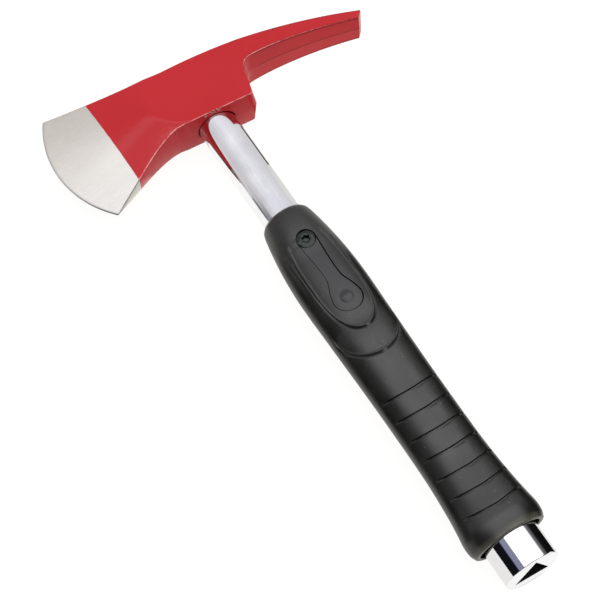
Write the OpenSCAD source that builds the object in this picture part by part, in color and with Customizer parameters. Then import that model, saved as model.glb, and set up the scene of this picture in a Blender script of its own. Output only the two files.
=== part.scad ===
// Fire-service hatchet: forged head on a chromed tube handle, with a rubber
// grip, a sprung thumb latch and a triangular key socket in the handle end.
// It lies on its side: +Y runs from the key end to the head, +X to the pick,
// and +Z out of the cheek that faces up, the side that carries the latch.

/* [Head] */
// Radius of the cutting edge, seen on the cheek
edge_r = 65; // [60:1:75]
// Edge centre, measured from the handle axis towards the pick
edge_x = -33.5; // [-36:0.5:-31]
// Edge centre, above the foot of the head
edge_y = 31.5; // [30:0.5:33]
// Direction of the upper blade corner from the edge centre, in degrees
edge_top = 147; // [144:1:150]
// Direction of the lower blade corner from the edge centre, in degrees
edge_low = 222.7; // [220:0.1:225]
// Half thickness of the head between its cheeks
cheek = 16; // [14.5:0.1:17]
// Half thickness that the blade gains per millimetre from its edge
wedge = 0.24; // [0.16:0.01:0.25]
// Half thickness at the tip of the pick
pick_half = 12.3; // [10:0.1:14]
// Reach of the pick from the handle axis
pick_x = 112; // [100:1:120]
// Height of the top edge over the handle axis
crown_y = 48.6; // [46:0.1:52]

/* [Handle] */
// Outer radius of the handle tube
tube_r = 12.05; // [11.5:0.05:12.4]
// Wall of the handle tube
tube_wall = 1.6; // [1.5:0.1:2.2]
// Outer radius of the tube's necked end inside the eye
neck_r = 10.4; // [9.5:0.1:10.8]
// Distance from the foot of the head to the end of the key socket
key_y = -330; // [-340:1:-325]
// Outer radius of the key socket
key_r = 17.1; // [16.5:0.1:17.2]
// Length of the key socket
key_len = 46; // [42:1:50]
// Distance from the centre of the triangular recess to its corners
key_corner = 12.9; // [11:0.1:13.5]
// Depth of the triangular recess
key_depth = 18; // [12:1:20]
// Turn of the recess about the handle axis, in degrees
key_turn = -6; // [-30:1:30]

/* [Grip] */
// Height of the grip's upper rim under the foot of the head
grip_y = -69.5; // [-72:0.5:-66]
// Length of the grip
grip_len = 239.5; // [236:0.5:242]
// Depth of the grip as a share of its width
grip_oval = 0.83; // [0.82:0.01:0.9]
// Thickness of the rubber skin
skin = 3.3; // [2.8:0.1:3.4]
// Number of finger grooves
grooves = 7; // [3:1:8]
// Distance between finger grooves
groove_pitch = 14; // [12:0.5:14]
// Depth of a finger groove
groove_deep = 0.7; // [0.3:0.1:1]

/* [Latch] */
// Place of the screw that clamps the tongue
screw_y = -94.5; // [-96:0.5:-93]
// Place of the thumb button
thumb_y = -139.2; // [-142:0.1:-136]
// Radius of the tongue's wide end
thumb_r = 9.2; // [8.5:0.1:9.8]
// Radius of the tongue's clamped end
clamp_r = 6.2; // [6:0.1:6.6]
// Gap round the tongue
latch_gap = 0.4; // [0.3:0.05:0.6]

/* [Hidden] */

fit = 0.03;                 // radial gap of a pushed fit
through = 1;                // how far a cutter runs past a face
cheek_steps = 16;           // points from the bottom to the top of a cheek
oval_steps = 40;            // points round the grip
pommel_half = 24.4;         // half width of the grip at its pommel
tip_nose = 0.3;             // how far the middle of the pick's tip stands out
shoulder_y = 13.5;          // where the tube's shoulder meets the eye
tube_end_y = key_y + 26;    // lower end of the tube, inside the key socket
key_top_y = key_y + key_len;
core_end_y = key_top_y + 0.6;
screw_floor = tube_r + 0.9; // top of the rivet nut's flange
eye_top = 14.6;             // top of the tongue's clamped end
screw_seat = 15;            // underside of the screw's head
screw_head_r = 5.8;
screw_head_h = 2.5;
screw_shank_r = 2.95;
bush_r = 4.2;
peg_r = 2;
peg_low = 7.6;              // lower end of the latch's peg, over the handle axis
peg_top = 15.3;             // its upper end, inside the tongue
pin_r = 2.5;                // cross pin through the key socket
button_r = 4.1;             // domed thumb button on the tongue's wide end
button_rise = 1.1;          // how far it stands out of the tongue

edge_c = [edge_x, edge_y];
top_corner = edge_c + edge_r * [cos(edge_top), sin(edge_top)];
low_corner = edge_c + edge_r * [cos(edge_low), sin(edge_low)];
heel = [25.7, 6.3];         // lower corner of the head behind the handle
beard = [-24, 10.6];        // where the beard's curve meets the underside
pick_root = [38.5, 29.7];   // where the pick's underside starts
pick_low = [pick_x - 4, 17.7];
pick_top = [pick_x, 21.6];

// Middle of the whole hatchet, seen from above, and its lowest point
mid_x = (edge_x - edge_r + pick_x + tip_nose) / 2;
mid_y = (key_y + top_corner[1]) / 2;
low_z = -pommel_half * grip_oval;

module placed() {
    translate([-mid_x, -mid_y, -low_z]) children();
}

// Turns something built along +Z so that it runs along +Y from y
module along_y(y) {
    translate([0, y, 0]) rotate([-90, 0, 0]) children();
}

function mix(a, b, t) = a + (b - a) * t;
function unit(v) = v / norm(v);
function left_of(v) = [-v[1], v[0]];
function smooth(t) = let (c = min(1, max(0, t))) c * c * (3 - 2 * c);
function bezier(a, b, c, d, t) =
    a * pow(1 - t, 3) + b * 3 * t * pow(1 - t, 2) + c * 3 * t * t * (1 - t) + d * pow(t, 3);

// ---- head -------------------------------------------------------------
// The head is a row of rings from the cutting edge to the tip of the pick.
// Each ring starts from a low point and a top point on its outline.

blade_parts = 16;
eye_parts = 5;
back_parts = 8;
pick_parts = 10;

function blade_low(t) =
    bezier(low_corner, [-57.7, -2.3], [-40, 9.7], beard, t);
function blade_top(t) =
    bezier(top_corner, [-56, 57.6], [-30, 50.4], [-12, 49.2], t);
function back_low(t) =
    bezier(heel, [30.2, 21.5], [28.8, 29.4], pick_root, t);
function pick_under(t) =
    bezier(pick_root, [60, 29.8], [88, 24], pick_low, t);
function crown(t) =
    bezier([-12, 49.2], [28, 47.6], [72, 38.5], pick_top, t);

eye_share = 0.27;           // part of the crown that lies over the eye
back_share = 0.40;          // where the pick starts on the crown

// A station is [low point, top point, half thickness, edge curve share, low ridge]
stations = concat(
    [for (i = [0 : blade_parts])
        let (t = pow(i / blade_parts, 1.4))
        [blade_low(t), blade_top(t), cheek, 1 - smooth(t * 1.15), 0.3]],
    [for (i = [1 : eye_parts])
        let (t = i / eye_parts)
        [mix(beard, heel, t), crown(eye_share * t), cheek, 0, mix(0.3, 2, pow(t, 6))]],
    [for (i = [1 : back_parts])
        let (t = i / back_parts)
        [back_low(t), crown(mix(eye_share, back_share, t)), cheek, 0, mix(2, 0.8, t)]],
    [for (i = [1 : pick_parts])
        let (t = i / pick_parts)
        [pick_under(t), crown(mix(back_share, 1, t)), mix(cheek, pick_half, t), 0, 0.6]]);

function along(i, k) =
    unit(stations[min(i + 1, len(stations) - 1)][k] - stations[max(i - 1, 0)][k]);
function edge_point(s) =
    let (a = mix(edge_low, edge_top, s)) edge_c + edge_r * [cos(a), sin(a)];

// A point of station i at share s of the way up its cheek
function cheek_xy(i, s) =
    let (q = stations[i])
    mix(q[0], q[1], s) + q[3] * (edge_point(s) - mix(low_corner, top_corner, s));
function cheek_half(i, s) =
    let (run = norm(cheek_xy(i, s) - edge_point(s)))
    min(stations[i][2], 0.12 + min(run, 0.8) * 0.35 + run * wedge);

function head_ring(i) =
    let (q = stations[i],
         low = q[0] - left_of(along(i, 0)) * min(q[4], cheek_half(i, 0) / 4),
         top = q[1] + left_of(along(i, 1)) * min(0.8, cheek_half(i, 1) / 6))
    concat(
        [for (j = [0 : cheek_steps])
            let (s = j / cheek_steps, p = cheek_xy(i, s)) [p[0], p[1], cheek_half(i, s)]],
        [[top[0], top[1], 0]],
        [for (j = [cheek_steps : -1 : 0])
            let (s = j / cheek_steps, p = cheek_xy(i, s)) [p[0], p[1], -cheek_half(i, s)]],
        [[low[0], low[1], 0]]);

// Closes a row of equal rings; the end caps are strips between the cheeks
module head_loft(rings, m) {
    n = len(rings[0]);
    last = len(rings) - 1;
    sides = [for (i = [0 : last - 1], j = [0 : n - 1], k = [0, 1])
        let (a = i * n + j, b = i * n + (j + 1) % n)
        k == 0 ? [a, b, a + n] : [b, b + n, a + n]];
    strip = concat(
        [for (j = [0 : m - 1]) [j, j + 1, 2 * m + 1 - j]],
        [for (j = [0 : m - 1]) [j, 2 * m + 1 - j, 2 * m + 2 - j]],
        [[m, m + 1, m + 2], [0, 2 * m + 2, 2 * m + 3]]);
    first_cap = [for (f = strip) [f[0], f[2], f[1]]];
    last_cap = [for (f = strip) [for (v = f) v + last * n]];
    polyhedron([for (r = rings) each r], concat(sides, first_cap, last_cap));
}

module axe_head() {
    color("firebrick") placed() difference() {
        head_loft([for (i = [0 : len(stations) - 1]) head_ring(i)], cheek_steps);
        along_y(-20) cylinder(h = 20 + shoulder_y, r = tube_r + 0.6, $fn = 72);
        along_y(shoulder_y - through) cylinder(h = 60, r = neck_r + fit, $fn = 72);
        along_y(crown_y - 2.2) cylinder(h = 12, r1 = neck_r + fit, r2 = neck_r + 5, $fn = 72);
    }
}

// ---- handle -----------------------------------------------------------

module handle_tube() {
    bore = tube_r - tube_wall;
    neck_bore = neck_r - tube_wall;
    color("gainsboro") placed() along_y(0) difference() {
        rotate_extrude($fn = 96)
            polygon([[bore, tube_end_y], [tube_r, tube_end_y], [tube_r, shoulder_y - 0.6],
                     [tube_r - 0.6, shoulder_y - fit], [neck_r, shoulder_y - fit],
                     [neck_r, crown_y - 1.4], [neck_bore, crown_y - 1.4],
                     [neck_bore, shoulder_y - 3], [bore, shoulder_y - 5]]);
        // holes for the rivet nut, the latch's peg and the cross pin
        translate([0, 0, screw_y]) rotate([90, 0, 0])
            cylinder(h = tube_r + through, r = bush_r + fit, $fn = 48);
        translate([0, 0, thumb_y]) rotate([90, 0, 0])
            cylinder(h = tube_r + through, r = peg_r + 1.2, $fn = 48);
        translate([0, 0, tube_end_y + 10]) rotate([0, 90, 0])
            cylinder(h = 3 * tube_r, r = pin_r + fit, center = true, $fn = 32);
    }
}

module expander_plug() {
    top = neck_r - tube_wall - fit;
    color("dimgray") placed() along_y(crown_y - 18)
        rotate_extrude($fn = 72)
            polygon([[0, 0], [top - 1.2, 0], [top, 1.6], [top, 16.4], [top - 0.8, 17], [0, 17.4]]);
}

module braze_ring() {
    color("peru") placed() along_y(shoulder_y - 2.4) difference() {
        cylinder(h = 1.7, r = tube_r + 0.57, $fn = 72);
        translate([0, 0, -through]) cylinder(h = 4, r = tube_r + fit, $fn = 72);
    }
}

module key_socket() {
    color("silver") placed() along_y(key_y) difference() {
        rotate_extrude($fn = 96)
            polygon([[0, 0], [key_r - 1, 0], [key_r - 0.3, 0.3], [key_r, 1],
                     [key_r, key_len - 1], [key_r - 1, key_len], [0, key_len]]);
        translate([0, 0, -through]) rotate([0, 0, -90 - key_turn])
            linear_extrude(key_depth + through) circle(r = key_corner, $fn = 3);
        translate([0, 0, tube_end_y - key_y - fit])
            cylinder(h = key_len, r = tube_r + fit, $fn = 96);
        translate([0, 0, tube_end_y + 10 - key_y]) rotate([0, 90, 0])
            cylinder(h = 3 * key_r, r = pin_r + fit, center = true, $fn = 32);
    }
}

module tube_insert() {
    bore = tube_r - tube_wall - fit;
    color("slategray") placed() along_y(tube_end_y) difference() {
        rotate_extrude($fn = 72)
            polygon([[0, 0], [bore, 0], [bore, 24], [bore - 1.5, 25.5], [0, 25.5]]);
        translate([0, 0, 10]) rotate([0, 90, 0])
            cylinder(h = 3 * tube_r, r = pin_r + fit, center = true, $fn = 32);
    }
}

module socket_pin() {
    color("darkgray") placed() translate([0, tube_end_y + 10, 0]) rotate([0, 90, 0])
        cylinder(h = 2 * (key_r - 0.8), r = pin_r, center = true, $fn = 32);
}

// ---- grip -------------------------------------------------------------
// Half widths of the grip, each at a distance from its upper rim
belly = [[0, 13.4], [2, 15.4], [10, 17.3], [25, 19.6], [40, 21], [55, 21.5], [85, 21],
         [125, 20.3], [165, 20.2], [187, 20.6], [208, 22], [222, 23.5], [229, pommel_half],
         [235, 24.1], [238, 23], [grip_len, 21]];

// Width between two entries of the list, eased so that it has no kinks
function belly_from(s, i) =
    let (n = len(belly) - 1,
         p = belly[max(i - 1, 0)], a = belly[i], b = belly[i + 1], q = belly[min(i + 2, n)],
         run = b[0] - a[0],
         ta = run * (b[1] - p[1]) / (b[0] - p[0]),
         tb = run * (q[1] - a[1]) / (q[0] - a[0]),
         t = (s - a[0]) / run)
    a[1] * (2 * pow(t, 3) - 3 * t * t + 1) + b[1] * (3 * t * t - 2 * pow(t, 3))
    + ta * (pow(t, 3) - 2 * t * t + t) + tb * (pow(t, 3) - t * t);
function half_width(s) =
    let (i = len([for (k = [1 : len(belly) - 2]) if (belly[k][0] <= s) 1])) belly_from(s, i);
function oval(s) = mix(1, grip_oval, smooth(s / 38));

first_groove = 138;         // distance of the first groove from the rim
function groove_at(k) = first_groove + k * groove_pitch;

// One oval ring at distance s from the rim, inset by some thickness
function grip_ring(s, inset) =
    let (a = half_width(s), b = a * oval(s))
    [for (k = [0 : oval_steps - 1])
        let (w = 360 * k / oval_steps)
        [(a - inset) * cos(w), grip_y - s, (b - inset) * sin(w)]];

module grip_loft(places, inset, deeps) {
    n = oval_steps;
    last = len(places) - 1;
    rings = [for (i = [0 : last]) grip_ring(places[i], inset + deeps[i])];
    sides = [for (i = [0 : last - 1], j = [0 : n - 1], k = [0, 1])
        let (a = i * n + j, b = i * n + (j + 1) % n)
        k == 0 ? [a, a + n, b] : [b, a + n, b + n]];
    caps = [[for (j = [0 : n - 1]) j], [for (j = [n - 1 : -1 : 0]) last * n + j]];
    polyhedron([for (r = rings) each r], concat(sides, caps));
}

function plain(places) = [for (p = places) 0];

body_places = [0, 0.6, 2, 5, 10, 17, 25, 32, 40, 50, 62, 75, 88, 100, 113, 126, 134];
groove_places = [for (k = [0 : grooves - 1], d = [-1, 0, 1]) groove_at(k) + d];
end_places = [225, 229, 232, 235, 237, 238.4, grip_len];
skin_places = concat(body_places, groove_places, end_places);
skin_deeps = concat(plain(body_places),
    [for (k = [0 : grooves - 1], d = [0, 1, 0]) d * groove_deep], plain(end_places));
core_places = [4, 10, 17, 25, 40, 55, 85, 125, 165, 187, 208, -(core_end_y - grip_y)];
rib_places = [208, 215, 222, 229, 233];
hollow_places = [3.5, 10, 17, 25, 40, 55, 85, 125, 165, 187, 208, 222, 229, 235, grip_len + 2];

// Outline of the tongue, seen from above, grown by a gap
function tongue_side() = concat(
    [for (w = [90 : -10 : 0]) [clamp_r * cos(w), screw_y + clamp_r * sin(w)]],
    [for (t = [0.1 : 0.1 : 1])
        bezier([clamp_r, screw_y], [5.4, screw_y - 10], [4.2, screw_y - 20],
               [4.5, screw_y - 28.5], t)],
    [for (t = [0.1 : 0.1 : 1])
        bezier([4.5, screw_y - 28.5], [4.8, screw_y - 34], [8.1, screw_y - 36.5],
               [thumb_r, thumb_y], t)],
    [for (w = [-10 : -10 : -90]) [thumb_r * cos(w), thumb_y + thumb_r * sin(w)]]);

module tongue_outline(gap) {
    offset(delta = gap)
        polygon(concat(tongue_side(),
            [for (i = [len(tongue_side()) - 1 : -1 : 0])
                let (p = tongue_side()[i]) [-p[0], p[1]]]));
}

// The well in the skin and the core that the tongue lies in. It goes down to the
// tube, beside it too, so that the tongue's edges are free when it is pressed.
module latch_well() {
    translate([0, 0, tube_r - 6]) linear_extrude(24) tongue_outline(latch_gap);
}

// Room for the key socket inside the grip's lower end
module key_room() {
    along_y(core_end_y - 30) cylinder(h = 30, r = key_r + 0.3, $fn = 72);
}

module grip_core() {
    rib_w = 1.6;
    rib_len = 18;
    color("dimgray") placed() difference() {
        union() {
            grip_loft(core_places, skin + 0.05, plain(core_places));
            // ribs that reach down into the hollow pommel beside the key socket
            intersection() {
                grip_loft(rib_places, skin + 0.1, plain(rib_places));
                for (side = [0, 180], w = [-36 : 18 : 36])
                    rotate([0, side + w, 0])
                        translate([key_r - 2, core_end_y - rib_len, -rib_w / 2])
                            cube([20, rib_len + 2, rib_w]);
            }
        }
        key_room();
        along_y(grip_y - grip_len) cylinder(h = grip_len + through, r = tube_r + 0.05, $fn = 96);
        latch_well();
    }
}

module grip_sleeve() {
    color([0.12, 0.12, 0.13]) placed() difference() {
        grip_loft(skin_places, 0, skin_deeps);
        grip_loft(hollow_places, skin, plain(hollow_places));
        along_y(grip_y - 20) cylinder(h = 20 + through, r = tube_r + 0.05, $fn = 96);
        key_room();
        latch_well();
    }
}

// ---- latch ------------------------------------------------------------

// Low dome on the tongue that the thumb finds
module thumb_button() {
    dome_r = (button_r * button_r + button_rise * button_rise) / (2 * button_rise);
    top = half_width(grip_y - thumb_y) * grip_oval + button_rise;
    intersection() {
        translate([0, thumb_y, top - 3]) cylinder(h = 5, r = button_r, $fn = 72);
        translate([0, thumb_y, top - dome_r]) sphere(r = dome_r, $fn = 96);
    }
}

module latch_tongue() {
    places = [12, 17, 25, 32, 40, 50, 62, 75, 88];
    color([0.2, 0.2, 0.21]) placed() difference() {
        union() {
            intersection() {
                grip_loft(places, 0, plain(places));
                translate([0, 0, tube_r - 1]) linear_extrude(20) tongue_outline(0);
            }
            thumb_button();
        }
        // underside, hollow like the tube that it lies over
        along_y(thumb_y - 20) cylinder(h = 100, r = tube_r + 2.15, $fn = 96);
        // step and hole for the screw
        translate([0, screw_y, eye_top]) cylinder(h = 10, r = clamp_r + 0.2, $fn = 72);
        translate([0, screw_y, 0]) cylinder(h = 30, r = bush_r + 0.35, $fn = 48);
        // socket of the peg
        translate([0, thumb_y, 0]) cylinder(h = peg_top + 0.1, r = peg_r + fit, $fn = 32);
    }
}

module latch_peg() {
    color("silver") placed() translate([0, thumb_y, 0]) rotate_extrude($fn = 32)
        polygon([[0, peg_low], [peg_r - 0.5, peg_low], [peg_r, peg_low + 0.5],
                 [peg_r, peg_top], [0, peg_top]]);
}

module tongue_screw() {
    dome = screw_head_h;
    color([0.16, 0.17, 0.17]) placed() translate([0, screw_y, screw_seat]) difference() {
        rotate_extrude($fn = 72)
            polygon(concat([[0, -8], [screw_shank_r, -8], [screw_shank_r, 0]],
                [[screw_head_r, 0], [screw_head_r, 0.5]],
                [for (w = [15 : 15 : 60])
                    [screw_head_r - 2.6 + 2.6 * cos(w), 0.5 + (dome - 0.5) * sin(w) / sin(60)]],
                [[0, dome]]));
        translate([0, 0, dome - 1.9]) cylinder(h = 4, r = 2.6, $fn = 6);
        translate([0, 0, dome - 0.45]) cylinder(h = 1, r1 = 2.4, r2 = 3.6, $fn = 48);
    }
}

module spacer_bush() {
    color("gray") placed() translate([0, screw_y, screw_floor + fit]) difference() {
        cylinder(h = screw_seat - screw_floor - 2 * fit, r = bush_r, $fn = 48);
        translate([0, 0, -through]) cylinder(h = 6, r = screw_shank_r + fit, $fn = 48);
    }
}

module rivet_nut() {
    reach = 7.5;
    color("gold") placed() translate([0, screw_y, 0]) difference() {
        union() {
            translate([0, 0, reach]) cylinder(h = tube_r - reach, r = bush_r, $fn = 48);
            // flange, saddled on the tube
            difference() {
                translate([0, 0, tube_r - 2]) cylinder(h = 2.9, r = bush_r + 1.3, $fn = 48);
                along_y(-20) cylinder(h = 40, r = tube_r + fit, $fn = 96);
            }
        }
        translate([0, 0, reach - through]) cylinder(h = 12, r = screw_shank_r + fit, $fn = 48);
    }
}

axe_head();
handle_tube();
expander_plug();
braze_ring();
grip_core();
grip_sleeve();
latch_tongue();
latch_peg();
tongue_screw();
spacer_bush();
rivet_nut();
key_socket();
tube_insert();
socket_pin();
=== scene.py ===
"""Looks of a fire-service hatchet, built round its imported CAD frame."""

import math

import bmesh
import bpy
import numpy as np
from mathutils import Matrix, Vector


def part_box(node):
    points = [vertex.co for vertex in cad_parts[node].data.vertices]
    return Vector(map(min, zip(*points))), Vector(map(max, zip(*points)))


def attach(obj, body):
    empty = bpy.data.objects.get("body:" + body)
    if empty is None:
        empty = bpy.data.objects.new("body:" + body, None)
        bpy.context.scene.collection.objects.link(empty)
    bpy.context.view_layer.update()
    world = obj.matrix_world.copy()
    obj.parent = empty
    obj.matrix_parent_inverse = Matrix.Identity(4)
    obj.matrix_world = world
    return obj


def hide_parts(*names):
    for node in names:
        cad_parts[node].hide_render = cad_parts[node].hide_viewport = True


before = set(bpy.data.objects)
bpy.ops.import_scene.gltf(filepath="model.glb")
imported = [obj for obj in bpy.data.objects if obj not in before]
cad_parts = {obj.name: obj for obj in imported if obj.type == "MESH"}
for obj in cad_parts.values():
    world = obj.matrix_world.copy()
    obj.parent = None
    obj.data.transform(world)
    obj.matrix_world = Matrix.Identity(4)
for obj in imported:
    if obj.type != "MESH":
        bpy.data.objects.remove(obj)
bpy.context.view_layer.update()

MM = 0.001

# ---- driving sizes, in millimetres, in the hatchet's own frame ----------
# Its origin is on the handle axis at the foot of the head, and the key
# socket's end lies KEY_Y below it. The frame says where that is.
KEY_Y = -330.0
TUBE_R = 12.05
KEY_R = 17.1
KEY_CORNER = 12.9
KEY_DEPTH = 18.0
KEY_TURN = math.radians(-6)
EYE_GAP = 0.6
SHOULDER_Y = 13.5
NECK_R = 10.43
CROWN_Y = 48.6
GRIP_Y = -69.5
GRIP_LEN = 239.5
GRIP_OVAL = 0.83
SKIN = 3.3
GROOVES = 7
GROOVE_FIRST = 138.0
GROOVE_PITCH = 14.0
SCREW_Y = -94.5
THUMB_Y = -139.2
THUMB_R = 9.2
CLAMP_R = 6.0
WELL_GAP = 0.28              # narrower than in the CAD
WELL_SHIFT = (0.28, -0.12)   # the tongue lies against the left side of its well
TONGUE_SHIFT = (0.1, -0.1)
BUTTON_R = 4.1
BUTTON_RISE = 1.1
SCREW_SEAT = 15.0
SCREW_R = 5.8
SCREW_H = 2.5

tube_low, tube_high = (np.array(c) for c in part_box("handle_tube"))
key_low, key_high = (np.array(c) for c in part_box("key_socket"))
AXIS_X = (key_low[0] + key_high[0]) / 2
AXIS_Z = (key_low[2] + key_high[2]) / 2
ORIGIN = np.array([AXIS_X, key_low[1] - KEY_Y * MM, AXIS_Z])


def place(points):
    """Points of the hatchet's own frame, in millimetres, as metres of the row frame."""
    return np.asarray(points, float) * MM + ORIGIN


def row_at(axis, distance):
    """A distance along one axis of the hatchet's own frame, as a place in the row frame."""
    return float(distance * MM + ORIGIN["XYZ".index(axis)])


def smooth(t):
    """Eases from 0 to 1."""
    c = np.clip(t, 0.0, 1.0)
    return c * c * (3 - 2 * c)


def mix(a, b, t):
    return a + (b - a) * t


def bezier(a, b, c, d, t):
    """A point of a cubic curve from a to d, pulled towards b and c."""
    a, b, c, d = (np.asarray(p, float) for p in (a, b, c, d))
    u = 1 - t
    return a * u**3 + b * 3 * t * u * u + c * 3 * t * t * u + d * t**3


def unit(v):
    return v / np.linalg.norm(v)


def new_piece(name, points, faces, materials, body="hatchet"):
    """A mesh object from points in the hatchet's own frame, riding on a body."""
    mesh = bpy.data.meshes.new(name)
    mesh.from_pydata([tuple(p) for p in place(points)], [], [tuple(f) for f in faces])
    mesh.validate()
    piece = bpy.data.objects.new(name, mesh)
    bpy.context.scene.collection.objects.link(piece)
    for material in materials:
        mesh.materials.append(material)
    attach(piece, body)
    return piece


def tidy_normals(piece, sharp=35.0):
    """Merges doubles, turns faces outward and shades smooth up to an angle."""
    work = bmesh.new()
    work.from_mesh(piece.data)
    bmesh.ops.remove_doubles(work, verts=work.verts, dist=1e-6)
    bmesh.ops.recalc_face_normals(work, faces=work.faces)
    limit = math.radians(sharp)
    for face in work.faces:
        face.smooth = True
    for edge in work.edges:
        edge.smooth = len(edge.link_faces) != 2 or edge.calc_face_angle(0.0) < limit
    work.to_mesh(piece.data)
    work.free()


def apply_modifiers(piece):
    """Bakes the piece's modifiers into its mesh."""
    graph = bpy.context.evaluated_depsgraph_get()
    graph.update()
    mesh = bpy.data.meshes.new_from_object(piece.evaluated_get(graph))
    piece.modifiers.clear()
    piece.data = mesh


def cut(piece, cutter, operation="DIFFERENCE"):
    """Takes the cutter's volume out of the piece, or joins it on, and removes the cutter."""
    boolean = piece.modifiers.new("cut", "BOOLEAN")
    boolean.operation = operation
    boolean.solver = "EXACT"
    boolean.object = cutter
    apply_modifiers(piece)
    bpy.data.objects.remove(cutter)


def cutter_of(points, faces, materials=()):
    """A closed shape to cut out of a piece, or to join onto it."""
    cutter = new_piece("cutter", points, faces, materials)
    tidy_normals(cutter)
    return cutter


def weigh_normals(piece):
    """Keeps large flat faces flat next to small rounded ones."""
    modifier = piece.modifiers.new("weighted", "WEIGHTED_NORMAL")
    modifier.keep_sharp = True
    modifier.weight = 80
    apply_modifiers(piece)


def ring_faces(rings, count, closed_ends=False):
    """Quads between rings of equal length, which close round themselves."""
    faces = []
    for i in range(rings - 1):
        for j in range(count):
            k = (j + 1) % count
            faces.append((i * count + j, i * count + k, (i + 1) * count + k, (i + 1) * count + j))
    if closed_ends:
        faces.append(tuple(range(count - 1, -1, -1)))
        faces.append(tuple((rings - 1) * count + j for j in range(count)))
    return faces


def lathe(profile, steps=192, closed_ends=True):
    """Points and faces of a profile of (radius, y) turned about the handle axis."""
    w = np.arange(steps) * 2 * math.pi / steps
    points = [(r * math.cos(a), y, r * math.sin(a)) for r, y in profile for a in w]
    return points, ring_faces(len(profile), steps, closed_ends)


def upright(profile, y, z=0.0, steps=96):
    """Points and faces of a profile of (radius, height over z) turned about an upright axis at y."""
    w = np.arange(steps) * 2 * math.pi / steps
    points = [(r * math.cos(a), y + r * math.sin(a), z + h) for r, h in profile for a in w]
    return points, ring_faces(len(profile), steps, closed_ends=True)


def arc(centre, radius, start, end, steps):
    """Points on an arc of a profile, with its ends, angles in degrees."""
    turns = np.radians(np.linspace(start, end, steps))
    return [(centre[0] + radius * math.cos(a), centre[1] + radius * math.sin(a)) for a in turns]


# ---- materials ----------------------------------------------------------


class Nodes:
    """Short ways to add nodes to one material."""

    def __init__(self, name):
        self.material = bpy.data.materials.new(name)
        self.material.use_nodes = True
        self.tree = self.material.node_tree
        self.shader = self.tree.nodes["Principled BSDF"]
        self.coordinates = self.tree.nodes.new("ShaderNodeTexCoord").outputs["Object"]

    def set(self, **values):
        """Sets constants straight on the shader's sockets."""
        for key, value in values.items():
            self.shader.inputs[key.replace("_", " ")].default_value = value

    def link(self, a, b):
        self.tree.links.new(a, b)

    def mapped(self, scale, offset=(0, 0, 0)):
        mapping = self.tree.nodes.new("ShaderNodeMapping")
        mapping.inputs["Scale"].default_value = scale
        mapping.inputs["Location"].default_value = offset
        self.link(self.coordinates, mapping.inputs["Vector"])
        return mapping.outputs["Vector"]

    def noise(self, scale, detail=4.0, stretch=(1, 1, 1), roughness=0.55):
        noise = self.tree.nodes.new("ShaderNodeTexNoise")
        noise.inputs["Scale"].default_value = scale
        noise.inputs["Detail"].default_value = detail
        noise.inputs["Roughness"].default_value = roughness
        self.link(self.mapped(stretch), noise.inputs["Vector"])
        return noise.outputs["Fac"]

    def ramp(self, value, stops):
        ramp = self.tree.nodes.new("ShaderNodeValToRGB")
        elements = ramp.color_ramp.elements
        while len(elements) < len(stops):
            elements.new(0.5)
        for element, (position, color) in zip(elements, stops):
            element.position = position
            element.color = (*color, 1) if len(color) == 3 else color
        self.link(value, ramp.inputs["Fac"])
        return ramp.outputs["Color"]

    def math(self, operation, a, b=0.0, clamp=False):
        node = self.tree.nodes.new("ShaderNodeMath")
        node.operation = operation
        node.use_clamp = clamp
        for socket, value in zip(node.inputs, (a, b)):
            if isinstance(value, (int, float)):
                socket.default_value = value
            else:
                self.link(value, socket)
        return node.outputs["Value"]

    def range(self, value, low, high, to_low=0.0, to_high=1.0):
        """Maps low to high onto to_low to to_high, and holds it there outside them."""
        node = self.tree.nodes.new("ShaderNodeMapRange")
        for key, number in (("From Min", low), ("From Max", high), ("To Min", to_low), ("To Max", to_high)):
            node.inputs[key].default_value = number
        self.link(value, node.inputs["Value"])
        return node.outputs["Result"]

    def mix(self, factor, a, b):
        node = self.tree.nodes.new("ShaderNodeMix")
        node.data_type = "RGBA"
        for socket, value in ((node.inputs[0], factor), (node.inputs[6], a), (node.inputs[7], b)):
            if isinstance(value, (int, float)):
                socket.default_value = value
            elif isinstance(value, tuple):
                socket.default_value = (*value, 1)
            else:
                self.link(value, socket)
        return node.outputs[2]

    def bump(self, height, strength, distance, after=None):
        bump = self.tree.nodes.new("ShaderNodeBump")
        bump.inputs["Strength"].default_value = strength
        bump.inputs["Distance"].default_value = distance
        self.link(height, bump.inputs["Height"])
        if after is not None:
            self.link(after, bump.inputs["Normal"])
        return bump.outputs["Normal"]

    def axis(self, name):
        """One coordinate of a point on the surface, in the row frame."""
        split = self.tree.nodes.new("ShaderNodeSeparateXYZ")
        self.link(self.coordinates, split.inputs["Vector"])
        return split.outputs[name]

    def facing(self, name):
        """How much the surface faces along one axis, -1 to 1."""
        geometry = self.tree.nodes.new("ShaderNodeNewGeometry")
        split = self.tree.nodes.new("ShaderNodeSeparateXYZ")
        self.link(geometry.outputs["Normal"], split.inputs["Vector"])
        return split.outputs[name]

    def all_of(self, *masks):
        """Masks of 0 to 1 multiplied together."""
        product = masks[0]
        for mask in masks[1:]:
            product = self.math("MULTIPLY", product, mask, clamp=True)
        return product

    def to(self, **sockets):
        """Links outputs to the shader's sockets."""
        for key, value in sockets.items():
            self.link(value, self.shader.inputs[key.replace("_", " ")])


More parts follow.
